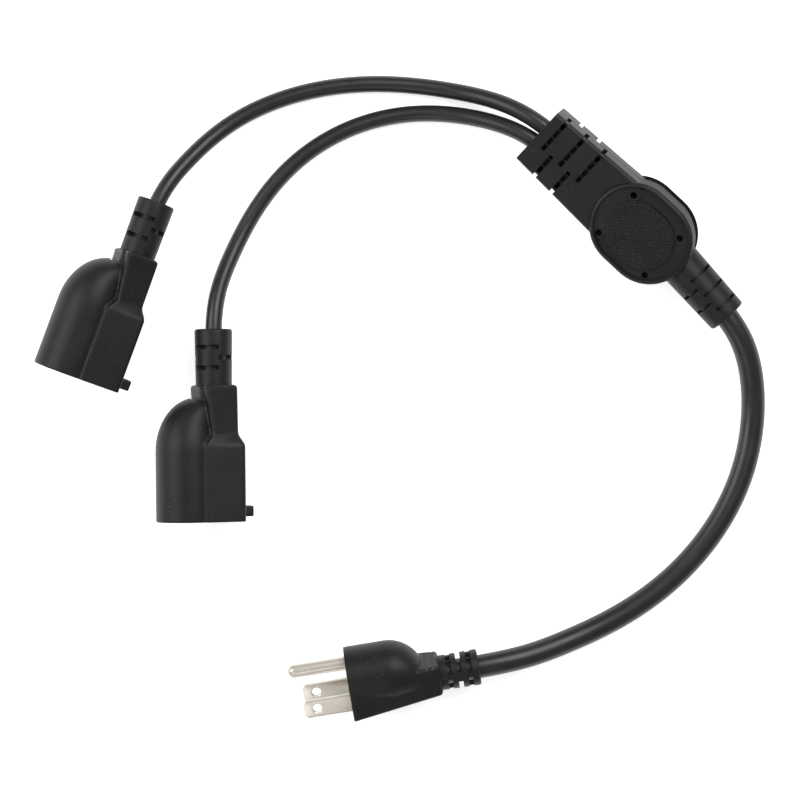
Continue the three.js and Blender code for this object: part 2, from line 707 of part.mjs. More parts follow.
function placed(nodes, { x = 0, y = 0, yaw, roll }) {
  const group = new THREE.Group();
  group.add(...nodes);
  group.rotation.order = 'ZYX';
  group.rotation.set(THREE.MathUtils.degToRad(roll), 0, THREE.MathUtils.degToRad(yaw));
  group.updateMatrixWorld(true);
  const box = new THREE.Box3().setFromObject(group, true);
  group.position.set(x, y, -box.min.z);
  return group;
}

function makeObject() {
  const object = new THREE.Group();
  const junction = placed(makeJunction(), junctionPlace);
  const box = new THREE.Box3().setFromObject(junction, true);
  junction.position.x -= (box.min.x + box.max.x) / 2;
  junction.position.y -= (box.min.y + box.max.y) / 2;
  object.add(junction, placed(makePlug(), plugPlace));
  object.add(placed(makeConnector('lower_'), lowerPlace), placed(makeConnector('upper_'), upperPlace));
  object.add(
    named('input_cord', tube(inputRoute, inputCordDiameter, 10, 22), rubber),
    named('outer_cord', tube(outerRoute, outputCordDiameter, 8, 26), rubber),
    named('inner_cord', tube(innerRoute, outputCordDiameter, 8, 26), rubber),
  );
  return object;
}

export default makeObject();
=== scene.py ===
# Looks of the Y power cord: fine moulded shells, round cords, pins, floor, lights and camera.
# Shapes are worked out in millimetres in each moulding's own frame, then placed in metres.
import math

import bmesh
import bpy
from mathutils import Matrix, Vector


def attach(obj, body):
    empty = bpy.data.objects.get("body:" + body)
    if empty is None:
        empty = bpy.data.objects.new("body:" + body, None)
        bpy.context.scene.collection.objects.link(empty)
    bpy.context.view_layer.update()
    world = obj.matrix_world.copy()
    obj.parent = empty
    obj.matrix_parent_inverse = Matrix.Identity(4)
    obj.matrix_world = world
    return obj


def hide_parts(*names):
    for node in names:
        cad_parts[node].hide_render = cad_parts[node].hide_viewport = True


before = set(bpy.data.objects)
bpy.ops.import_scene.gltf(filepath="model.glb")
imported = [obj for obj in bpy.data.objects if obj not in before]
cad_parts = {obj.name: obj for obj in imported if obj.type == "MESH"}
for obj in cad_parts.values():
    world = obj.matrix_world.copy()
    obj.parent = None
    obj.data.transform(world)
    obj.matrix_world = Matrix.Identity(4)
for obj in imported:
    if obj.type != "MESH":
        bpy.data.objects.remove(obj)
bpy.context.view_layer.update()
MM = 0.001

# Camera: straight down over the middle of the picture
CAMERA_PLACE = (-78.4, -62.4, 950)
FLOOR_ACROSS = 277.8
SENSOR = 36

# Cords
INPUT_DIAMETER = 8.1
OUTPUT_DIAMETER = 5.7
OUTPUT_SPACING = 5.9

# Steps along a cord's line, the length that a moulding holds at each end, and the smoothing passes between
CORD_STEP, CORD_HELD, CORD_PASSES = 1.5, 18, 40

INPUT_ROUTE = [
    (13, -10.7, 13), (23.4, -22, 12.6), (33.9, -33.6, 12.1), (38.6, -40, 11), (41.7, -48, 8.8),
    (43.3, -56, 6.4), (43.9, -64, 4.9), (43.2, -74, 4.2), (41.1, -84.5, 4.1), (37.2, -95.2, 4.1),
    (33.1, -103, 4.1), (28.3, -110.3, 4.1), (22.8, -117, 4.1), (16.7, -123.3, 4.1), (10, -128.9, 4.1),
    (2.8, -134, 4.1), (-4.7, -138.4, 4.3), (-12.6, -142.3, 4.8), (-20.7, -145.6, 6), (-30, -149.2, 8.6),
    (-40.4, -151.8, 11.6), (-50.5, -153.6, 12.4), (-60.1, -155.2, 12.5), (-69.9, -156.8, 12.5),
]
OUTER_ROUTE = [
    (-6.2, 10.4, 13.7), (-17.3, 20.7, 13.7), (-28.7, 31.2, 13.6), (-37, 36.9, 11.9), (-45.5, 40.8, 8.4),
    (-54, 43.2, 5.2), (-61.5, 44.8, 3.6), (-69, 46, 3), (-77, 46.8, 2.9), (-85.6, 47.2, 2.9),
    (-94.3, 46.9, 2.9), (-102.9, 46, 2.9), (-111.5, 44.3, 2.9), (-119.8, 41.9, 2.9), (-127.9, 38.6, 2.9),
    (-135.6, 34.5, 3), (-142.4, 29.4, 3.9), (-148.6, 23.6, 6.2), (-154.1, 16.9, 9.4),
    (-157.8, 13, 11.6), (-161.6, 5.8, 12.8), (-165.8, -5.6, 12.9), (-170.2, -17.4, 12.9),
]
INNER_ROUTE = [
    (-10.1, 6.3, 11.9), (-21.1, 16.6, 11.9), (-32.5, 27.1, 11.8), (-41, 31.6, 10), (-50, 34.4, 7),
    (-58.6, 36.2, 4.8), (-67.3, 37, 3.4), (-76, 36.8, 2.9), (-84.6, 35.4, 2.9), (-92.9, 33, 2.9),
    (-100.9, 29.5, 2.9), (-108.4, 25, 2.9), (-115.2, 19.7, 2.9), (-121.3, 13.4, 2.9), (-126.6, 6.5, 2.9),
    (-131.2, -0.9, 3), (-135, -8.7, 3.8), (-138.2, -16, 6.2), (-140.8, -23.5, 9.6), (-142.1, -30, 12),
    (-142.4, -37.7, 12.8), (-142.2, -49.9, 12.9), (-142.1, -62.5, 12.9),
]

# Where each moulding lies: its place, the direction that its face or single cord points, and its roll
PLUG_LIE = {"place": (-95.3, -163.2, 11.6964), "yaw": 189.3, "roll": 160}
LOWER_LIE = {"place": (-143, -103.9, 13.3291), "yaw": -89.4, "roll": 160}
UPPER_LIE = {"place": (-185.8, -55.8, 13.3291), "yaw": -110.3, "roll": 160}
JUNCTION_LIE = {"place": (-30.4108, 29.0858, 12.793), "yaw": -43, "roll": 18}

# Plug body
PLUG = {
    "length": 31.5, "half": 10.7, "rear_half": 7, "foot": 6, "rear_foot": 3.2, "top": 8, "ledge": 8,
    "thumb": 6, "dome_radius": 10.6, "dome_centre": 6.3, "dome_straight": 14, "dome_end": 26.8,
    "nose_sink": 5, "axis": 2.4, "wall": 2.2, "relief_length": 13.4, "relief_radius": 6.2,
    "relief_base": 6, "pocket": 7,
}
# Connector body
CONNECTOR = {
    "length": 46.7, "half": 11.2, "rear_half": 10.4, "foot": 9.4, "rear_foot": 7.6, "top": 5.2,
    "ledge": 5.3, "thumb": 6, "shoulder": 25.5, "neck": 30.5, "dome_radius": 10.9, "dome_centre": 8.2,
    "dome_straight": 24, "dome_end": 42.4, "nose_sink": 0.6, "axis": -1.4, "wall": 2,
    "relief_length": 19.1, "relief_radius": 6.45, "relief_base": 6.2, "pocket": 24,
}
# How far the connector's slab drops and narrows at its neck and at its rear
NECK_DROP, NECK_TAPER, REAR_DROP, REAR_TAPER = 3, 1.4, 1, 2
LUG_SETBACK, LUG_LENGTH, LUG_WIDTH, LUG_HEIGHT = 1.4, 3.7, 5, 5.2

# Pins
BLADE_SPACING, BLADE_WIDTH, BLADE_THICKNESS, BLADE_REACH = 12.7, 6.35, 1.52, 16.3
BLADE_HOLE, BLADE_HOLE_FROM_TIP, BLADE_CHAMFER, BLADE_RIM = 3.2, 4.6, 1.1, 0.25
GROUND_OFFSET, GROUND_DIAMETER, GROUND_REACH, PIN_ROOT = 11.89, 4.75, 20, 9

# Junction body
NECK_LENGTH, NECK_HALF, NECK_FLARE, NECK_THICK = 40, 10.6, 1.6, 8
PAD_CENTRE, PAD_RADIUS, PAD_STRAIGHT, PAD_THICK = 48.6, 15.1, 7.4, 9
EDGE_BEVEL = 1.4
SEAM_WIDTH, SEAM_DEPTH = 0.5, 0.5
PANEL_RADIUS, PANEL_STRAIGHT, PANEL_DEPTH, PANEL_SHIFT = 10.4, 4, 0.7, 0.9
GRID_PITCH, GRID_RISE = 0.72, 0.3
# PANEL_SHIFT sets the panel and its holes off the pad's middle, as the picture shows them
CORE_HOLE, CORE_HOLE_DEPTH, CORE_HOLE_ALONG, CORE_HOLE_ACROSS = 2.3, 4, 10.7, 8.8
JUNCTION_RELIEF_LENGTH, JUNCTION_RELIEF_LEAN = 24.5, 5
JUNCTION_RELIEF_RADIUS, JUNCTION_RELIEF_BASE = 6.9, 7.4
JUNCTION_SLOT, JUNCTION_SLOT_PITCH, JUNCTION_SLOT_FIRST = 1, 3.25, 7
NECK_SLOT, NECK_SLOT_PITCH, NECK_SLOT_FIRST = 1.5, 4, 4.6
NECK_SLOT_MIDDLE, NECK_SLOT_OVERLAP = -1.8, 0.4
JUNCTION_SLOTS, NECK_SLOTS, CORE_COVER, RELIEF_SINK = 5, 5, 1.2, 2
ROOM_LEAD, ROOM_TAIL, ROOM_HALF, ROOM_COVER, SEAM_START = 10, 6, 9.2, 3.4, 16

# Shared
RELIEF_SLOT, RELIEF_WALL, RELIEF_WEB, CROSS_WEB = 1.6, 1, 1.2, 3
PLUG_SLOT_FIRST, CONNECTOR_SLOT_FIRST, RELIEF_SLOT_PITCH, RELIEF_SLOTS = 3.1, 5.8, 3.5, 3
RELIEF_RIM, RELIEF_FOOT = 0.8, 1.2
RIB_PITCH, RIB_THICKNESS, RIB_SINK, RIB_PLATES = 3.2, 0.8, 2, 6
CORNER_RADIUS, EDGE_ROUND = 1.2, 1.2
GAP = 0.35
CORD_SEAT, CORD_GRIP, CHAMBER_INSET, CHAMBER_CORNER = 6, 0.2, 0.6, 0.8
ROOT_ROOM = 2.6
NOSE_RADIUS, NOSE_DROP = 1.5, 2
THUMB_INSET, GROOVE_START, GROOVE_DEPTH = 0.6, 1.8, 0.5
SOFTEN_VOXEL, SOFTEN_PASSES, KEEP_RATIO = 0.32, 5, 0.3

# Floor, lights and world, in metres
FLOOR_HALF, FLOOR_GLOW, WORLD_GLOW = 2.5, 0.6, 0.33
LIGHT_AIM = (-0.08, -0.06, 0)


# Camera

def make_camera():
    data = bpy.data.cameras.new("camera")
    camera = bpy.data.objects.new("camera", data)
    bpy.context.scene.collection.objects.link(camera)
    camera.location = Vector(CAMERA_PLACE) * MM
    data.sensor_width = SENSOR
    data.lens = SENSOR * CAMERA_PLACE[2] / FLOOR_ACROSS
    data.clip_start = 0.01
    bpy.context.scene.camera = camera


# Cords

def curve_mesh(curve, name):
    """Mesh of a curve as it stands."""
    source = new_object(name + "_source", curve)
    graph = bpy.context.evaluated_depsgraph_get()
    mesh = bpy.data.meshes.new_from_object(source.evaluated_get(graph))
    bpy.data.objects.remove(source)
    return mesh


def spline_places(name, route):
    """Places along a smooth line through the points of a route, in metres."""
    curve = bpy.data.curves.new(name, "CURVE")
    curve.dimensions = "3D"
    curve.resolution_u = 10
    spline = curve.splines.new("BEZIER")
    spline.bezier_points.add(len(route) - 1)
    for point, place in zip(spline.bezier_points, route):
        point.co = Vector(place) * MM
        point.handle_left_type = "AUTO"
        point.handle_right_type = "AUTO"
    line = curve_mesh(curve, name)
    places = [vertex.co.copy() for vertex in line.vertices]
    bpy.data.meshes.remove(line)
    bpy.data.curves.remove(curve)
    return places


def even_steps(places, pitch):
    """The same line at even steps."""
    runs = [0]
    for a, b in zip(places, places[1:]):
        runs.append(runs[-1] + (b - a).length)
    count = round(runs[-1] / pitch)
    steps = []
    i = 0
    for k in range(count + 1):
        target = runs[-1] * k / count
        while i < len(places) - 2 and runs[i + 1] < target:
            i += 1
        share = (target - runs[i]) / (runs[i + 1] - runs[i])
        steps.append(places[i].lerp(places[i + 1], share))
    return steps


def eased(places):
    """Line smoothed between the two ends that the mouldings hold."""
    steps = even_steps(places, CORD_STEP * MM)
    held = round(CORD_HELD / CORD_STEP)
    for _ in range(CORD_PASSES):
        steps = steps[:held] + [
            (a + 2 * b + c) / 4 for a, b, c in zip(steps[held - 1:], steps[held:-held], steps[held + 1:])
        ] + steps[-held:]
    return steps


def make_cord(name, node, route, diameter):
    """Round tube along a route; gives the piece and the middle line that it follows."""
    path = eased(spline_places(name, route))
    curve = bpy.data.curves.new(name, "CURVE")
    curve.dimensions = "3D"
    curve.bevel_resolution = 10
    curve.bevel_depth = diameter / 2 * MM
    curve.use_fill_caps = True
    spline = curve.splines.new("POLY")
    spline.points.add(len(path) - 1)
    for point, place in zip(spline.points, path):
        point.co = (*place, 1)
    piece = new_object(name, curve_mesh(curve, name))
    bpy.data.curves.remove(curve)
    for face in piece.data.polygons:
        face.use_smooth = True
    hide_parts(node)
    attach(piece, "root")
    return piece, [tuple(place) for place in path]


# Solids in millimetres

def new_object(name, mesh):
    piece = bpy.data.objects.new(name, mesh)
    bpy.context.scene.collection.objects.link(piece)
    return piece


def drop(piece):
    mesh = piece.data
    bpy.data.objects.remove(piece)
    bpy.data.meshes.remove(mesh)


def loft(rings):
    """Closed solid through rings of equal point count, fanned shut at both ends."""
    points = []
    for ring in rings:
        points.extend(ring)
    count = len(rings[0])
    faces = []
    for r in range(len(rings) - 1):
        for i in range(count):
            a = r * count + i
            b = r * count + (i + 1) % count
            faces.append((a, b, b + count, a + count))
    for r in (0, len(rings) - 1):
        middle = len(points)
        ring = rings[r]
        points.append([sum(p[k] for p in ring) / count for k in range(3)])
        for i in range(count):
            faces.append((middle, r * count + i, r * count + (i + 1) % count))
    mesh = bpy.data.meshes.new("loft")
    mesh.from_pydata(points, [], faces)
    return new_object("loft", outward(mesh))


def outward(mesh):
    form = bmesh.new()
    form.from_mesh(mesh)
    bmesh.ops.recalc_face_normals(form, faces=form.faces)
    form.to_mesh(mesh)
    form.free()
    return mesh


def settle(piece):
    """Makes the modifiers on a piece part of its mesh."""
    graph = bpy.context.evaluated_depsgraph_get()
    mesh = bpy.data.meshes.new_from_object(piece.evaluated_get(graph))
    old = piece.data
    piece.modifiers.clear()
    piece.data = mesh
    bpy.data.meshes.remove(old)


def combine(base, operation, others):
    for other in others:
        step = base.modifiers.new("combine", "BOOLEAN")
        step.operation = operation
        step.solver = "MANIFOLD"
        step.object = other
        settle(base)
        drop(other)
    return base


def join(base, *others):
    return combine(base, "UNION", others)


def cut(base, *others):
    return combine(base, "DIFFERENCE", others)


def keep_inside(base, other):
    return combine(base, "INTERSECT", [other])


def block(x0, x1, y0, y1, z0, z1):
    square = [(y0, z0), (y1, z0), (y1, z1), (y0, z1)]
    return loft([[(x, y, z) for y, z in square] for x in (x0, x1)])


def turned(profile, sides=64):
    """Solid of revolution round X from (x, radius) pairs."""
    turn = [2 * math.pi * i / sides for i in range(sides)]
    return loft([[(x, radius * math.cos(a), radius * math.sin(a)) for a in turn] for x, radius in profile])


def bar(x0, x1, y, z, radius, sides=48):
    return moved(turned([(x0, radius), (x1, radius)], sides), (0, y, z))


def moved(piece, shift):
    piece.data.transform(Matrix.Translation(shift))
    return piece


def slab_ring(x, foot, top, foot_half, top_half, radius, steps=6):
    """Section at x: a trapezoid in Y and Z with rounded corners."""
    ring = []
    corners = [(top, top_half, 0), (top, -top_half, 3), (foot, -foot_half, 2), (foot, foot_half, 1)]
    for y, z, quarter in corners:
        cy = y - radius if y == top else y + radius
        cz = z - math.copysign(radius, z)
        for k in range(steps + 1):
            angle = (quarter + 1 - k / steps) * math.pi / 2
            ring.append((x, cy + radius * math.cos(angle), cz + radius * math.sin(angle)))
    return ring


def domed_ring(x, foot, half, centre, radius, corner, steps=24):
    """Section with a half-round top over a flat-sided foot."""
    spread = math.asin(min(1, half / radius))
    ring = []
    for k in range(steps + 1):
        angle = spread * (1 - 2 * k / steps)
        ring.append((x, centre + radius * math.cos(angle), radius * math.sin(angle)))
    ring += [(x, foot + corner, -half), (x, foot, corner - half)]
    ring += [(x, foot, half - corner), (x, foot + corner, half)]
    return ring


def circle_ring(x, centre, radius, sides=72):
    turn = [2 * math.pi * i / sides for i in range(sides)]
    return [(x, centre + radius * math.cos(a), radius * math.sin(a)) for a in turn]


def soften(piece):
    """Blends a moulding's edges and inner corners as the tool's radii do."""
    remesh = piece.modifiers.new("remesh", "REMESH")
    remesh.mode = "VOXEL"
    remesh.voxel_size = SOFTEN_VOXEL
    smooth = piece.modifiers.new("smooth", "SMOOTH")
    smooth.factor = 0.5
    smooth.iterations = SOFTEN_PASSES
    thin = piece.modifiers.new("thin", "DECIMATE")
    thin.ratio = KEEP_RATIO
    settle(piece)
    return piece


def smoothstep(t):
    return t * t * (3 - 2 * t)


def between(a, b, t):
    return [p + (q - p) * t for p, q in zip(a, b)]


# Moulded bodies

def plug_stations(size):
    face = [0, -size["foot"], size["top"], size["half"], size["half"]]
    rear = [
        size["length"] - EDGE_ROUND, -size["rear_foot"], size["top"], size["rear_half"], size["rear_half"],
    ]
    return [face, rear] + rounded_end(rear)


def connector_stations(size):
    face = [0, -size["foot"], size["top"], size["half"], size["half"]]
    shoulder = [size["shoulder"]] + face[1:]
    neck = [
        size["neck"], -size["rear_foot"], size["ledge"] - NECK_DROP, size["rear_half"] - NECK_TAPER,
        size["rear_half"],
    ]
    rear = [
        size["length"] - EDGE_ROUND, -size["rear_foot"], size["ledge"] - REAR_DROP,
        size["rear_half"] - REAR_TAPER, size["rear_half"],
    ]
    stations = [face]
    steps = 8
    for k in range(steps + 1):
        t = k / steps
        station = between(shoulder, neck, smoothstep(t))
        station[0] = shoulder[0] + (neck[0] - shoulder[0]) * t
        stations.append(station)
    return stations + [rear] + rounded_end(rear)


def rounded_end(rear, steps=4):
    """Stations that turn the rear edge over by EDGE_ROUND."""
    back, foot, top, foot_half, top_half = rear
    stations = []
    for k in range(1, steps + 1):
        angle = k / steps * math.pi / 2
        inset = EDGE_ROUND * (1 - math.cos(angle))
        stations.append([
            back + EDGE_ROUND * math.sin(angle), foot + inset, top - inset, foot_half - inset,
            top_half - inset,
        ])
    return stations


def moulded_body(size, stations):
    """A flat-sided slab under a half-round dome whose nose runs down to a thumb ledge."""
    slab = loft([slab_ring(-s[0], s[1], s[2], s[3], s[4], CORNER_RADIUS) for s in stations])
    tip = size["ledge"] - size["nose_sink"]
    crown = size["dome_centre"] + size["dome_radius"]
    rings = [circle_ring(0, size["dome_centre"], size["dome_radius"])]
    steps = 24
    for k in range(steps):
        t = math.sin(k / steps * math.pi / 2)
        top = tip + (crown - tip) * math.sqrt(1 - t * t)
        sag = (size["dome_centre"] - tip + NOSE_DROP) * t ** 3
        centre = min(size["dome_centre"] - sag, top - NOSE_RADIUS)
        back = size["dome_straight"] + (size["dome_end"] - size["dome_straight"]) * t
        rings.append(circle_ring(-back, centre, min(top - centre, size["dome_radius"])))
    dome = loft(rings)
    thumb = block(-size["length"] + THUMB_INSET, -size["dome_straight"], 0, size["ledge"], -size["thumb"],
                  size["thumb"])
    return join(slab, dome, thumb)


def thumb_grooves(size, pitch, width, count):
    """Cutters for the grooves across the thumb ledge."""
    grooves = []
    for i in range(count):
        x = -size["length"] + GROOVE_START + i * pitch
        grooves.append(block(x, x + width, size["ledge"] - GROOVE_DEPTH, size["ledge"] + 2,
                             -size["thumb"] - 1, size["thumb"] + 1))
    return grooves


def inner_ring(x, size, inset):
    return domed_ring(x, -size["foot"] + inset, size["half"] - inset, size["dome_centre"],
                      size["dome_radius"] - inset, CORNER_RADIUS)


def hollow(size, cord_radius):
    """Pocket at the face, a chamber that narrows behind it, and the cord's bore."""
    pocket_end = size["pocket"] + ROOT_ROOM
    chamber_end = size["length"] - CORD_SEAT
    pocket = loft([inner_ring(1, size, size["wall"]), inner_ring(-pocket_end, size, size["wall"])])
    room = cord_radius - CORD_GRIP
    chamber = loft([
        inner_ring(-pocket_end + 0.5, size, size["wall"] + CHAMBER_INSET),
        domed_ring(-chamber_end, size["axis"] - room, room, size["axis"], room, CHAMBER_CORNER),
    ])
    bore = bar(-size["length"] - size["relief_length"] - 1, -chamber_end + 0.5, size["axis"], 0,
               cord_radius + GAP)
    return join(pocket, chamber, bore)


def ribs(length, radius):
    """Thin plates through the relief's axis, which stay as ribs across its slots."""
    outer = radius - RIB_SINK
    plates = []
    for i in range(RIB_PLATES):
        plate = block(-length, 1, -outer, outer, -RIB_THICKNESS / 2, RIB_THICKNESS / 2)
        plate.data.transform(Matrix.Rotation(math.pi * (i + 0.5) / RIB_PLATES, 4, "X"))
        plates.append(plate)
    return join(*plates)


def relief(length, radius, base, core, slots, slot_width):
    """Round slotted strain relief from x = 0 to -length; its core and ribs stay uncut."""
    rim = RELIEF_RIM
    steps = 5
    profile = [(-length, radius - rim)]
    for k in range(1, steps + 1):
        angle = k / steps * math.pi / 2
        profile.append((-length + rim * (1 - math.cos(angle)), radius - rim + rim * math.sin(angle)))
    profile += [(-RELIEF_FOOT, base), (1, base)]
    body = turned(profile)
    for x, (y0, y1), (z0, z1) in slots:
        slot = block(x - slot_width / 2, x + slot_width / 2, y0, y1, z0, z1)
        cut(slot, bar(-length, 1, 0, 0, core), ribs(length, base))
        cut(body, slot)
    return body


def reach(side, near, far):
    """Limits of a stretch from near to far on one side of zero."""
    return (near, far) if side > 0 else (-far, -near)


def quarter_slots(first, pitch, count, radius):
    """Slots on both sides of a level web, from the left and the right in turn."""
    slots = []
    for i in range(count):
        for up in (1, -1):
            side = (1 if i % 2 else -1) * up
            slots.append((-first - i * pitch, reach(side, 0, radius + 1),
                          reach(up, RELIEF_WEB / 2, radius + 1)))
    return slots


def crossed_slots(first, pitch, count, radius):
    """Half slots above and below a level web, then left and right of an upright one."""
    slots = []
    across = (-radius - 1, radius + 1)
    for i in range(count):
        for side in (1, -1):
            x = -first - i * pitch
            if i % 2:
                slots.append((x, reach(side, CROSS_WEB / 2, radius + 1), across))
            else:
                slots.append((x, across, reach(side, RELIEF_WEB / 2, radius + 1)))
    return slots


def make_plug_shell():
    size = PLUG
    cord_radius = INPUT_DIAMETER / 2
    body = soften(moulded_body(size, plug_stations(size)))
    slots = crossed_slots(PLUG_SLOT_FIRST, RELIEF_SLOT_PITCH, RELIEF_SLOTS, size["relief_radius"])
    cord_guard = relief(size["relief_length"], size["relief_radius"], size["relief_base"], cord_radius,
                        slots, RELIEF_SLOT)
    join(body, moved(cord_guard, (-size["length"], size["axis"], 0)))
    return cut(body, hollow(size, cord_radius), *thumb_grooves(size, pitch=2.3, width=0.9, count=2))


def make_connector_shell():
    size = CONNECTOR
    cord_radius = OUTPUT_DIAMETER / 2
    body = join(moulded_body(size, connector_stations(size)), make_lug(-size["foot"]))
    soften(body)
    slots = quarter_slots(CONNECTOR_SLOT_FIRST, RELIEF_SLOT_PITCH, RELIEF_SLOTS, size["relief_radius"])
    cord_guard = relief(size["relief_length"], size["relief_radius"], size["relief_base"],
                        cord_radius + GAP + RELIEF_WALL, slots, RELIEF_SLOT)
    join(body, moved(cord_guard, (-size["length"], size["axis"], 0)))
    return cut(body, hollow(size, cord_radius), *thumb_grooves(size, pitch=0.9, width=0.45, count=5))


def make_lug(foot):
    back = -LUG_SETBACK - LUG_LENGTH
    return block(back, -LUG_SETBACK, foot - LUG_HEIGHT, foot + 1, -LUG_WIDTH / 2, LUG_WIDTH / 2)


# Junction

def stadium_ring(z, straight, radius, steps=32):
    ring = []
    for end, start in ((1, -math.pi / 2), (-1, math.pi / 2)):
        for k in range(steps + 1):
            angle = start + math.pi * k / steps
            x = PAD_CENTRE + end * straight / 2 + radius * math.cos(angle)
            ring.append((x, radius * math.sin(angle), z))
    return ring


def stadium_block(z0, z1, straight, radius):
    return loft([stadium_ring(z, straight, radius) for z in (z0, z1)])


def make_pad():
    """Stadium pad with rounded rims and the parting groove round its middle."""
    steps = 5
    rims = []
    for k in range(steps + 1):
        angle = k / steps * math.pi / 2
        rims.append((EDGE_BEVEL * (1 - math.sin(angle)), PAD_THICK - EDGE_BEVEL * (1 - math.cos(angle))))
    levels = [(-z, inset) for inset, z in reversed(rims)]
    levels += [(-SEAM_WIDTH / 2, 0), (-SEAM_WIDTH / 2 + 0.05, SEAM_DEPTH)]
    levels += [(SEAM_WIDTH / 2 - 0.05, SEAM_DEPTH), (SEAM_WIDTH / 2, 0)]
    levels += [(z, inset) for inset, z in rims]
    return loft([stadium_ring(z, PAD_STRAIGHT, PAD_RADIUS - inset) for z, inset in levels])


def make_neck():
    """Flat two-cord neck that widens towards the pad, with the parting groove on both edges."""
    rings = []
    for x in (0, NECK_LENGTH):
        half = NECK_HALF + NECK_FLARE * x / NECK_LENGTH
        rings.append(slab_ring(x, -half, half, NECK_THICK, NECK_THICK, EDGE_BEVEL))
    neck = loft(rings)
    for side in (-1, 1):
        groove = block(SEAM_START, PAD_CENTRE, -1, 1, -SEAM_WIDTH / 2, SEAM_WIDTH / 2)
        groove.data.transform(Matrix.Rotation(side * math.atan(NECK_FLARE / NECK_LENGTH), 4, "Z"))
        cut(neck, moved(groove, (0, side * (NECK_HALF - SEAM_DEPTH + 1), 0)))
    return neck


def grid_plate(z, rise):
    """Moulded square grid of small pyramids, filling the recessed panel."""
    along = PANEL_STRAIGHT / 2 + PANEL_RADIUS
    columns = int(2 * along / GRID_PITCH) + 2
    rows = int(2 * PANEL_RADIUS / GRID_PITCH) + 2
    x0 = PAD_CENTRE - columns * GRID_PITCH / 2
    y0 = -rows * GRID_PITCH / 2
    form = bmesh.new()
    grid = {}
    for i in range(2 * columns + 1):
        for j in range(2 * rows + 1):
            peak = rise if i % 2 and j % 2 else 0
            grid[i, j] = form.verts.new((x0 + i * GRID_PITCH / 2, y0 + j * GRID_PITCH / 2, z + peak))
    for i in range(2 * columns):
        for j in range(2 * rows):
            a, b, c, d = grid[i, j], grid[i + 1, j], grid[i + 1, j + 1], grid[i, j + 1]
            if (i % 2) == (j % 2):
                form.faces.new((a, b, c))
                form.faces.new((a, c, d))
            else:
                form.faces.new((a, b, d))
                form.faces.new((b, c, d))
    geometry = bmesh.ops.extrude_face_region(form, geom=form.faces[:])
    sunk = [v for v in geometry["geom"] if isinstance(v, bmesh.types.BMVert)]
    for vertex in sunk:
        vertex.co.z = z - 0.5 if rise > 0 else z + 0.5
    bmesh.ops.recalc_face_normals(form, faces=form.faces)
    mesh = bpy.data.meshes.new("grid")
    form.to_mesh(mesh)
    form.free()
    plate = new_object("grid", mesh)
    return keep_inside(plate, stadium_block(-20, 20, PANEL_STRAIGHT, PANEL_RADIUS + 0.05))


def leaned(piece):
    """Sets a piece of the one-cord relief at the pad's end, with its lean."""
    pad_end = PAD_CENTRE + PAD_STRAIGHT / 2 + PAD_RADIUS
    lean = Matrix.Rotation(math.radians(-JUNCTION_RELIEF_LEAN), 4, "Z")
    piece.data.transform(Matrix.Translation((pad_end - RELIEF_SINK, 0, 0)) @ lean)
    return piece


def make_junction_shell():
    cord_radius = INPUT_DIAMETER / 2
    slots = quarter_slots(JUNCTION_SLOT_FIRST, JUNCTION_SLOT_PITCH, JUNCTION_SLOTS, JUNCTION_RELIEF_BASE)
    cord_guard = relief(JUNCTION_RELIEF_LENGTH, JUNCTION_RELIEF_RADIUS, JUNCTION_RELIEF_BASE,
                        cord_radius + GAP + RELIEF_WALL, slots, JUNCTION_SLOT)
    cord_guard.data.transform(Matrix.Rotation(math.pi, 4, "Z"))
    shell = join(make_neck(), make_pad(), leaned(cord_guard))
    hole_profile = [(PAD_THICK - CORE_HOLE_DEPTH, CORE_HOLE / 2), (PAD_THICK + 1, CORE_HOLE / 2)]
    for face in (1, -1):
        floor_z = face * (PAD_THICK - PANEL_DEPTH)
        z0, z1 = sorted((floor_z, face * (PAD_THICK + 1)))
        shift = -face * PANEL_SHIFT
        cut(shell, moved(stadium_block(z0, z1, PANEL_STRAIGHT, PANEL_RADIUS), (0, shift, 0)))
        for sx in (-1, 1):
            for sy in (-1, 1):
                hole = turned(hole_profile, 32)
                hole.data.transform(Matrix.Rotation(-face * math.pi / 2, 4, "Y"))
                place = (PAD_CENTRE + sx * CORE_HOLE_ALONG, sy * CORE_HOLE_ACROSS + shift, 0)
                cut(shell, moved(hole, place))
        join(shell, moved(grid_plate(floor_z, face * GRID_RISE), (0, shift, 0)))
    cut_neck_slots(shell)
    room_half = PAD_THICK - ROOM_COVER
    front = NECK_LENGTH - ROOM_LEAD
    back = PAD_CENTRE + PAD_STRAIGHT / 2 + ROOM_TAIL
    room = block(front, back, -ROOM_HALF, ROOM_HALF, -room_half, room_half)
    bores = [
        bar(-1, front + 1, side * OUTPUT_SPACING / 2, 0, OUTPUT_DIAMETER / 2 + GAP) for side in (-1, 1)
    ]
    exit_bore = leaned(bar(-10, JUNCTION_RELIEF_LENGTH + 1, 0, 0, cord_radius + GAP))
    return cut(shell, room, *bores, exit_bore)


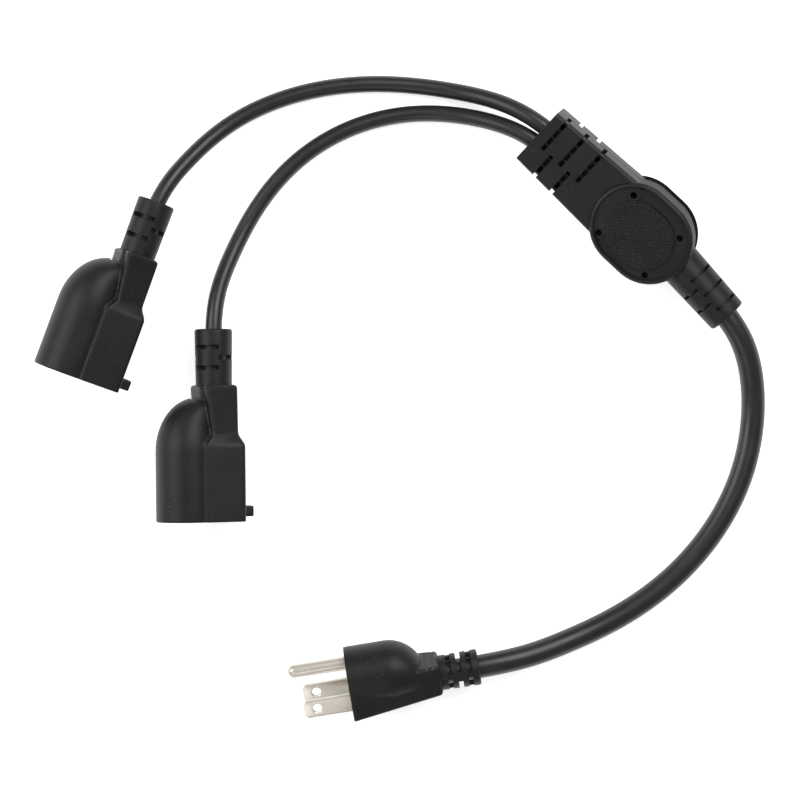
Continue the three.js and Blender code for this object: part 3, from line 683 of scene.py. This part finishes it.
def cut_neck_slots(shell):
    """Slots from the neck's two edges in turn, down to a core round the cords, with ribs inside."""
    core_half = OUTPUT_SPACING / 2 + OUTPUT_DIAMETER / 2 + CORE_COVER
    core_depth = OUTPUT_DIAMETER / 2 + CORE_COVER
    wide = 2 * NECK_HALF
    rib_height = NECK_THICK - RIB_SINK
    for i in range(NECK_SLOTS):
        x = NECK_SLOT_FIRST + i * NECK_SLOT_PITCH
        for up in (1, -1):
            side = (-1 if i % 2 else 1) * up
            y0 = NECK_SLOT_MIDDLE - NECK_SLOT_OVERLAP if side > 0 else -wide
            y1 = wide if side > 0 else NECK_SLOT_MIDDLE + NECK_SLOT_OVERLAP
            z0, z1 = reach(up, RELIEF_WEB / 2, 2 * NECK_THICK)
            slot = block(x - NECK_SLOT / 2, x + NECK_SLOT / 2, y0, y1, z0, z1)
            cut(slot, block(-1, NECK_LENGTH, -core_half, core_half, -core_depth, core_depth))
            for k in range(-3, 4):
                y = k * RIB_PITCH
                cut(slot, block(-1, NECK_LENGTH, y - RIB_THICKNESS / 2, y + RIB_THICKNESS / 2, -rib_height,
                                rib_height))
            cut(shell, slot)


# Pins

def make_blade(side):
    """Flat blade with chamfered tip and rims, and its hole."""
    tip, half = BLADE_REACH, BLADE_WIDTH / 2
    middle = side * BLADE_SPACING / 2
    steps = 3
    rings = []
    for k in range(-steps, steps + 1):
        if k == 0:
            continue
        angle = (steps - abs(k)) / (steps - 1) * math.pi / 2
        inset = BLADE_RIM * (1 - math.sin(angle))
        height = BLADE_THICKNESS / 2 - BLADE_RIM * (1 - math.cos(angle))
        z = middle + math.copysign(height, k)
        x1, y1, c = tip - inset, half - inset, BLADE_CHAMFER
        edge = [(-PIN_ROOT, y1), (x1 - c, y1), (x1 - 0.3 * c, y1 - 0.7 * c), (x1, y1 - 1.4 * c)]
        rings.append([(x, -y, z) for x, y in edge] + [(x, y, z) for x, y in reversed(edge)])
    blade = loft(rings)
    rim = 0.2
    ends = BLADE_THICKNESS / 2
    r = BLADE_HOLE / 2
    profile = [(-ends - 1, r + rim + 1), (-ends + rim, r), (ends - rim, r), (ends + 1, r + rim + 1)]
    hole = turned(profile, 48)
    hole.data.transform(Matrix.Rotation(math.pi / 2, 4, "Y"))
    return cut(blade, moved(hole, (tip - BLADE_HOLE_FROM_TIP, 0, middle)))


def make_ground_pin():
    """Round pin with a domed tip."""
    r = GROUND_DIAMETER / 2
    steps = 12
    profile = [(-PIN_ROOT, r)]
    for k in range(steps):
        angle = k / steps * math.pi / 2
        profile.append((GROUND_REACH - r + r * math.sin(angle), r * math.cos(angle)))
    return moved(turned(profile, 64), (0, GROUND_OFFSET, 0))


# Placing

def placed(piece, name, node, lie, material, sharp=32):
    """Lays a piece as its moulding lies and lets it stand for its node."""
    yaw = Matrix.Rotation(math.radians(lie["yaw"]), 4, "Z")
    roll = Matrix.Rotation(math.radians(lie["roll"]), 4, "X")
    mesh = piece.data
    mesh.transform(Matrix.Scale(MM, 4) @ Matrix.Translation(lie["place"]) @ yaw @ roll)
    for face in mesh.polygons:
        face.use_smooth = True
    mesh.set_sharp_from_angle(angle=math.radians(sharp))
    mesh.materials.clear()
    mesh.materials.append(material)
    piece.name = name
    mesh.name = name
    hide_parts(node)
    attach(piece, "root")
    return piece


# Materials

def new_material(name):
    material = bpy.data.materials.new(name)
    material.use_nodes = True
    nodes = material.node_tree.nodes
    links = material.node_tree.links
    shader = nodes["Principled BSDF"]
    coords = nodes.new("ShaderNodeTexCoord")
    return material, nodes, links, shader, coords


def noise(nodes, links, coords, scale, detail=4, roughness=0.55):
    node = nodes.new("ShaderNodeTexNoise")
    node.inputs["Scale"].default_value = scale
    node.inputs["Detail"].default_value = detail
    node.inputs["Roughness"].default_value = roughness
    links.new(coords.outputs["Object"], node.inputs["Vector"])
    return node


def ramp(nodes, links, source, stops):
    node = nodes.new("ShaderNodeValToRGB")
    elements = node.color_ramp.elements
    while len(elements) < len(stops):
        elements.new(0.5)
    for element, (place, colour) in zip(elements, stops):
        element.position = place
        element.color = (*colour, 1)
    links.new(source, node.inputs["Fac"])
    return node


def spread(nodes, links, source, low, high):
    node = nodes.new("ShaderNodeMapRange")
    node.inputs["To Min"].default_value = low
    node.inputs["To Max"].default_value = high
    links.new(source, node.inputs["Value"])
    return node


def bump(nodes, links, source, strength, distance, below=None):
    node = nodes.new("ShaderNodeBump")
    node.inputs["Strength"].default_value = strength
    node.inputs["Distance"].default_value = distance
    links.new(source, node.inputs["Height"])
    if below is not None:
        links.new(below.outputs["Normal"], node.inputs["Normal"])
    return node


def moulded_pvc(name, base, worn, roughness):
    """Moulded PVC: near-black, finely grained, with faint cloudy variation and pale dust specks."""
    material, nodes, links, shader, coords = new_material(name)
    cloud = noise(nodes, links, coords, 90, 3)
    grain = noise(nodes, links, coords, 2600, 2, 0.6)
    speck = noise(nodes, links, coords, 1500, 1, 0.4)
    tone = ramp(nodes, links, cloud.outputs["Fac"], [(0.3, base), (0.72, worn)])
    dust = ramp(nodes, links, speck.outputs["Fac"], [(0.74, (0, 0, 0)), (0.8, (1, 1, 1))])
    mix = nodes.new("ShaderNodeMix")
    mix.data_type = "RGBA"
    links.new(dust.outputs["Color"], mix.inputs["Factor"])
    links.new(tone.outputs["Color"], mix.inputs["A"])
    mix.inputs["B"].default_value = (0.075, 0.073, 0.068, 1)
    links.new(mix.outputs["Result"], shader.inputs["Base Color"])
    sheen = spread(nodes, links, grain.outputs["Fac"], roughness - 0.08, roughness + 0.1)
    links.new(sheen.outputs["Result"], shader.inputs["Roughness"])
    fine = bump(nodes, links, grain.outputs["Fac"], 0.35, 0.00006)
    soft = bump(nodes, links, cloud.outputs["Fac"], 0.25, 0.0002, fine)
    links.new(soft.outputs["Normal"], shader.inputs["Normal"])
    shader.inputs["Specular IOR Level"].default_value = 0.27
    return material


def cord_jacket(name):
    """Extruded jacket: near-black and smoother than the mouldings."""
    material, nodes, links, shader, coords = new_material(name)
    cloud = noise(nodes, links, coords, 160, 3)
    grain = noise(nodes, links, coords, 3000, 2)
    stops = [(0.3, (0.007, 0.007, 0.007)), (0.7, (0.011, 0.0108, 0.0105))]
    tone = ramp(nodes, links, cloud.outputs["Fac"], stops)
    links.new(tone.outputs["Color"], shader.inputs["Base Color"])
    sheen = spread(nodes, links, cloud.outputs["Fac"], 0.3, 0.44)
    links.new(sheen.outputs["Result"], shader.inputs["Roughness"])
    fine = bump(nodes, links, grain.outputs["Fac"], 0.2, 0.00004)
    links.new(fine.outputs["Normal"], shader.inputs["Normal"])
    shader.inputs["Specular IOR Level"].default_value = 0.5
    return material


def plated_metal(name, pale, dull, low, high, metallic=1):
    """Plated or bare metal with dulled patches and fine marks."""
    material, nodes, links, shader, coords = new_material(name)
    patch = noise(nodes, links, coords, 220, 4)
    fine = noise(nodes, links, coords, 4200, 2)
    tone = ramp(nodes, links, patch.outputs["Fac"], [(0.35, pale), (0.7, dull)])
    links.new(tone.outputs["Color"], shader.inputs["Base Color"])
    shader.inputs["Metallic"].default_value = metallic
    sheen = spread(nodes, links, patch.outputs["Fac"], low, high)
    links.new(sheen.outputs["Result"], shader.inputs["Roughness"])
    marks = bump(nodes, links, fine.outputs["Fac"], 0.15, 0.00002)
    links.new(marks.outputs["Normal"], shader.inputs["Normal"])
    return material


def wire_insulation(name, base):
    """Coloured insulation of a lead, slightly uneven in tone."""
    material, nodes, links, shader, coords = new_material(name)
    cloud = noise(nodes, links, coords, 400, 3)
    pale = [min(1, c * 1.15 + 0.004) for c in base]
    tone = ramp(nodes, links, cloud.outputs["Fac"], [(0.3, base), (0.7, pale)])
    links.new(tone.outputs["Color"], shader.inputs["Base Color"])
    sheen = spread(nodes, links, cloud.outputs["Fac"], 0.36, 0.5)
    links.new(sheen.outputs["Result"], shader.inputs["Roughness"])
    return material


def dress_nodes(finishes):
    """Gives every CAD node that stays its procedural material."""
    for name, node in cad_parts.items():
        for ending, material in finishes.items():
            if name.endswith(ending):
                node.data.materials.clear()
                node.data.materials.append(material)


# Floor, lights and world

def make_floor():
    """White paper with a glow that only the camera and reflections see, so its shadow looks faint."""
    mesh = bpy.data.meshes.new("floor")
    half = FLOOR_HALF
    corners = [(-half, -half, 0), (half, -half, 0), (half, half, 0), (-half, half, 0)]
    mesh.from_pydata(corners, [], [(0, 1, 2, 3)])
    floor = new_object("floor", mesh)
    material, nodes, links, shader, coords = new_material("floor_paper")
    fibre = noise(nodes, links, coords, 60, 3)
    tone = ramp(nodes, links, fibre.outputs["Fac"], [(0.3, (0.88, 0.88, 0.88)), (0.7, (0.9, 0.9, 0.9))])
    links.new(tone.outputs["Color"], shader.inputs["Base Color"])
    shader.inputs["Roughness"].default_value = 0.9
    shader.inputs["Specular IOR Level"].default_value = 0.1
    path = nodes.new("ShaderNodeLightPath")
    seen = nodes.new("ShaderNodeMath")
    seen.operation = "MAXIMUM"
    links.new(path.outputs["Is Camera Ray"], seen.inputs[0])
    links.new(path.outputs["Is Glossy Ray"], seen.inputs[1])
    glow = nodes.new("ShaderNodeMath")
    glow.operation = "MULTIPLY"
    glow.inputs[1].default_value = FLOOR_GLOW
    links.new(seen.outputs["Value"], glow.inputs[0])
    shader.inputs["Emission Color"].default_value = (1, 1, 1, 1)
    links.new(glow.outputs["Value"], shader.inputs["Emission Strength"])
    mesh.materials.append(material)


def make_light(name, place, size, power):
    """White square area light that points at the object."""
    data = bpy.data.lights.new(name, "AREA")
    data.shape = "RECTANGLE"
    data.size, data.size_y = size, size
    data.energy = power
    light = bpy.data.objects.new(name, data)
    bpy.context.scene.collection.objects.link(light)
    light.location = place
    direction = Vector(LIGHT_AIM) - Vector(place)
    light.rotation_euler = direction.to_track_quat("-Z", "Y").to_euler()


def make_world():
    world = bpy.data.worlds.new("studio")
    bpy.context.scene.world = world
    world.use_nodes = True
    background = world.node_tree.nodes["Background"]
    background.inputs["Color"].default_value = (1, 1, 1, 1)
    background.inputs["Strength"].default_value = WORLD_GLOW


def main():
    scene = bpy.context.scene
    scene.view_settings.view_transform = "Standard"
    make_camera()
    input_cord, input_path = make_cord("input_cord_jacket", "input_cord", INPUT_ROUTE, INPUT_DIAMETER)
    outer_cord, outer_path = make_cord("outer_cord_jacket", "outer_cord", OUTER_ROUTE, OUTPUT_DIAMETER)
    inner_cord, inner_path = make_cord("inner_cord_jacket", "inner_cord", INNER_ROUTE, OUTPUT_DIAMETER)

    shell_pvc = moulded_pvc("shell_pvc", (0.006, 0.0059, 0.0055), (0.0105, 0.0102, 0.0096), 0.45)
    insert_plastic = moulded_pvc("insert_plastic", (0.009, 0.009, 0.009), (0.014, 0.014, 0.0135), 0.45)
    jacket = cord_jacket("jacket_pvc")
    nickel = plated_metal("nickel_plate", (0.68, 0.635, 0.555), (0.6, 0.56, 0.49), 0.22, 0.36, 0.55)
    brass = plated_metal("contact_brass", (0.66, 0.5, 0.22), (0.52, 0.38, 0.16), 0.28, 0.42)
    for cord in (input_cord, outer_cord, inner_cord):
        cord.data.materials.append(jacket)
    dress_nodes({
        "_blade": nickel, "_pin": nickel, "_contact": brass, "_ferrule": brass,
        "_insert": insert_plastic, "_bridge": insert_plastic,
        "hot_lead": wire_insulation("hot_insulation", (0.01, 0.01, 0.01)),
        "neutral_lead": wire_insulation("neutral_insulation", (0.72, 0.7, 0.66)),
        "ground_lead": wire_insulation("ground_insulation", (0.03, 0.2, 0.07)),
    })

    plug_shell = placed(make_plug_shell(), "plug_moulding", "plug_shell", PLUG_LIE, shell_pvc)
    connector = make_connector_shell()
    second = new_object("second", connector.data.copy())
    lower_shell = placed(connector, "lower_moulding", "lower_shell", LOWER_LIE, shell_pvc)
    upper_shell = placed(second, "upper_moulding", "upper_shell", UPPER_LIE, shell_pvc)
    placed(make_junction_shell(), "junction_moulding", "junction_shell", JUNCTION_LIE, shell_pvc)
    pins = [
        placed(make_blade(1), "neutral_blade", "plug_neutral_blade", PLUG_LIE, nickel),
        placed(make_blade(-1), "hot_blade", "plug_hot_blade", PLUG_LIE, nickel),
        placed(make_ground_pin(), "ground_pin", "plug_ground_pin", PLUG_LIE, nickel),
    ]

    make_floor()
    make_light("key", place=(0.35, 0.45, 0.95), size=0.7, power=9)
    make_light("fill", place=(-0.75, 0.1, 0.6), size=0.6, power=4.5)
    make_light("front", place=(-0.3, -0.75, 0.6), size=0.5, power=1.2)
    make_world()


main()
